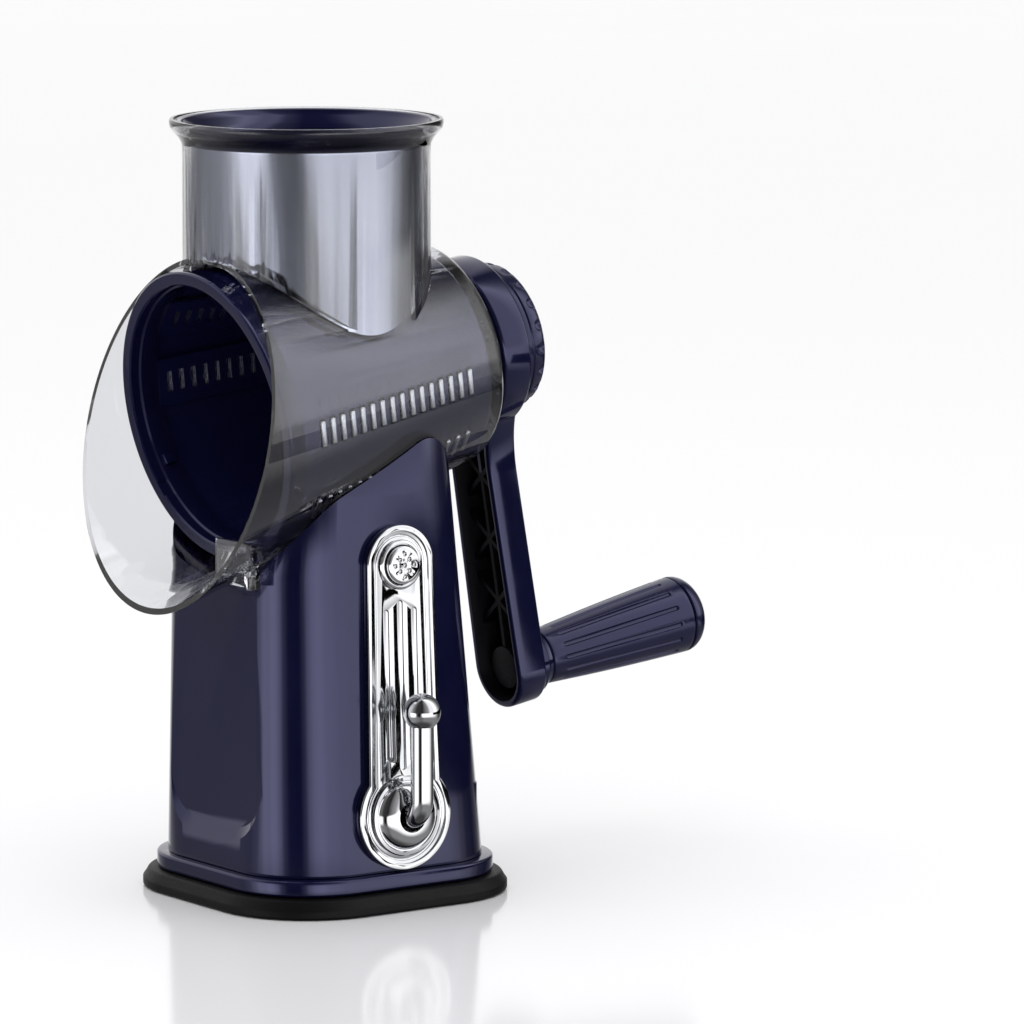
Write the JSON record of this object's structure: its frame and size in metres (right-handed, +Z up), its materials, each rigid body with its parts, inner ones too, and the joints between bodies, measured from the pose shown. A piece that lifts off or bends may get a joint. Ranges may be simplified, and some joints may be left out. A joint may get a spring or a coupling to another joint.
{
  "type": "rotary cheese grater",
  "caption": "Hand-cranked rotary drum grater with a clear hopper and spout housing on a tapered column with a lever-worked suction base.",
  "frame": {"origin": "centre of the suction pad's flat underside, on the table", "axes": "+Z up; the drum's mouth faces -Y, the crank is at +Y and the lever plate is on the +X side"},
  "size_m": [0.1292, 0.2448, 0.282],
  "materials": {
    "navy_plastic": "gloss",
    "black_rubber": "matte",
    "chrome": "polished",
    "steel": "satin",
    "clear_plastic": "clear gloss",
    "dark_plastic": "satin",
    "pale_seal": "matte"
  },
  "bodies": {
    "base": {"base_shell": "navy_plastic", "base_plate": "navy_plastic", "foot_ring": "black_rubber", "base_screw_1": "steel", "base_screw_2": "steel", "base_screw_3": "steel", "base_screw_4": "steel", "lever_plate": "chrome", "pivot_dome": "chrome", "button_bezel": "chrome"},
    "lever": {"lever_rod": "chrome", "lever_ball": "chrome", "cam_shaft": "steel", "lift_cam": "dark_plastic", "shaft_clip": "steel"},
    "pad": {"suction_pad": "black_rubber", "lift_yoke": "dark_plastic", "pad_spring": "steel"},
    "button": {"release_button": "chrome", "latch_slider": "dark_plastic", "button_spring": "steel"},
    "housing": {"housing": "clear_plastic", "shaft_bush": "dark_plastic", "shaft_seal": "pale_seal"},
    "pusher": {"pusher": "navy_plastic"},
    "crank": {"crank_shaft": "steel", "crank_arm": "navy_plastic", "grip_spindle": "steel", "grip_collar": "navy_plastic", "spindle_nut": "steel"},
    "knob": {"crank_knob": "navy_plastic", "knob_washer": "steel"},
    "grip": {"grip": "navy_plastic", "grip_end_cap": "navy_plastic"},
    "drum": {"drum_body": "navy_plastic", "drum_mouth_ring": "navy_plastic", "blade_strip_1": "steel", "blade_strip_2": "steel", "blade_strip_3": "steel", "blade_strip_4": "steel", "drive_insert": "steel"}
  },
  "joints": [
    {"name": "lever_turn", "type": "hinge", "parent": "base", "child": "lever", "pos_m": [0, 0, 0.0337], "axis": [1, 0, 0], "range_deg": [0, 90]},
    {"name": "pad_lift", "type": "slide", "parent": "base", "child": "pad", "axis": [0, 0, 1], "range_m": [0, 0.0042], "deforming": ["pad_spring"]},
    {"name": "button_press", "type": "slide", "parent": "base", "child": "button", "axis": [-0.9995, 0, -0.0331], "range_m": [0, 0.003], "stiffness_N_per_m": 800, "springref_m": -0.001, "deforming": ["button_spring"]},
    {"name": "housing_lift", "type": "slide", "parent": "base", "child": "housing", "axis": [0, 0, 1], "range_m": [0, 0.06]},
    {"name": "pusher_lift", "type": "slide", "parent": "housing", "child": "pusher", "axis": [0, 0, 1], "range_m": [0, 0.1]},
    {"name": "crank_turn", "type": "hinge", "parent": "housing", "child": "crank", "pos_m": [0, 0, 0.185], "axis": [0, 0.9871, 0.1599], "continuous": true},
    {"name": "knob_turn", "type": "hinge", "parent": "crank", "child": "knob", "pos_m": [0, 0, 0.185], "axis": [0, 0.9871, 0.1599], "continuous": true},
    {"name": "grip_spin", "type": "hinge", "parent": "crank", "child": "grip", "pos_m": [0, 0.01974, 0.06309], "axis": [0, 0.9871, 0.1599], "continuous": true},
    {"name": "drum_pull", "type": "slide", "parent": "crank", "child": "drum", "axis": [0, -0.9871, -0.1599], "range_m": [0, 0.11]}
  ],
  "couplings": [
    {"joint": "lever_turn", "follows": "pad_lift", "rad_per_m": 373.9}
  ]
}
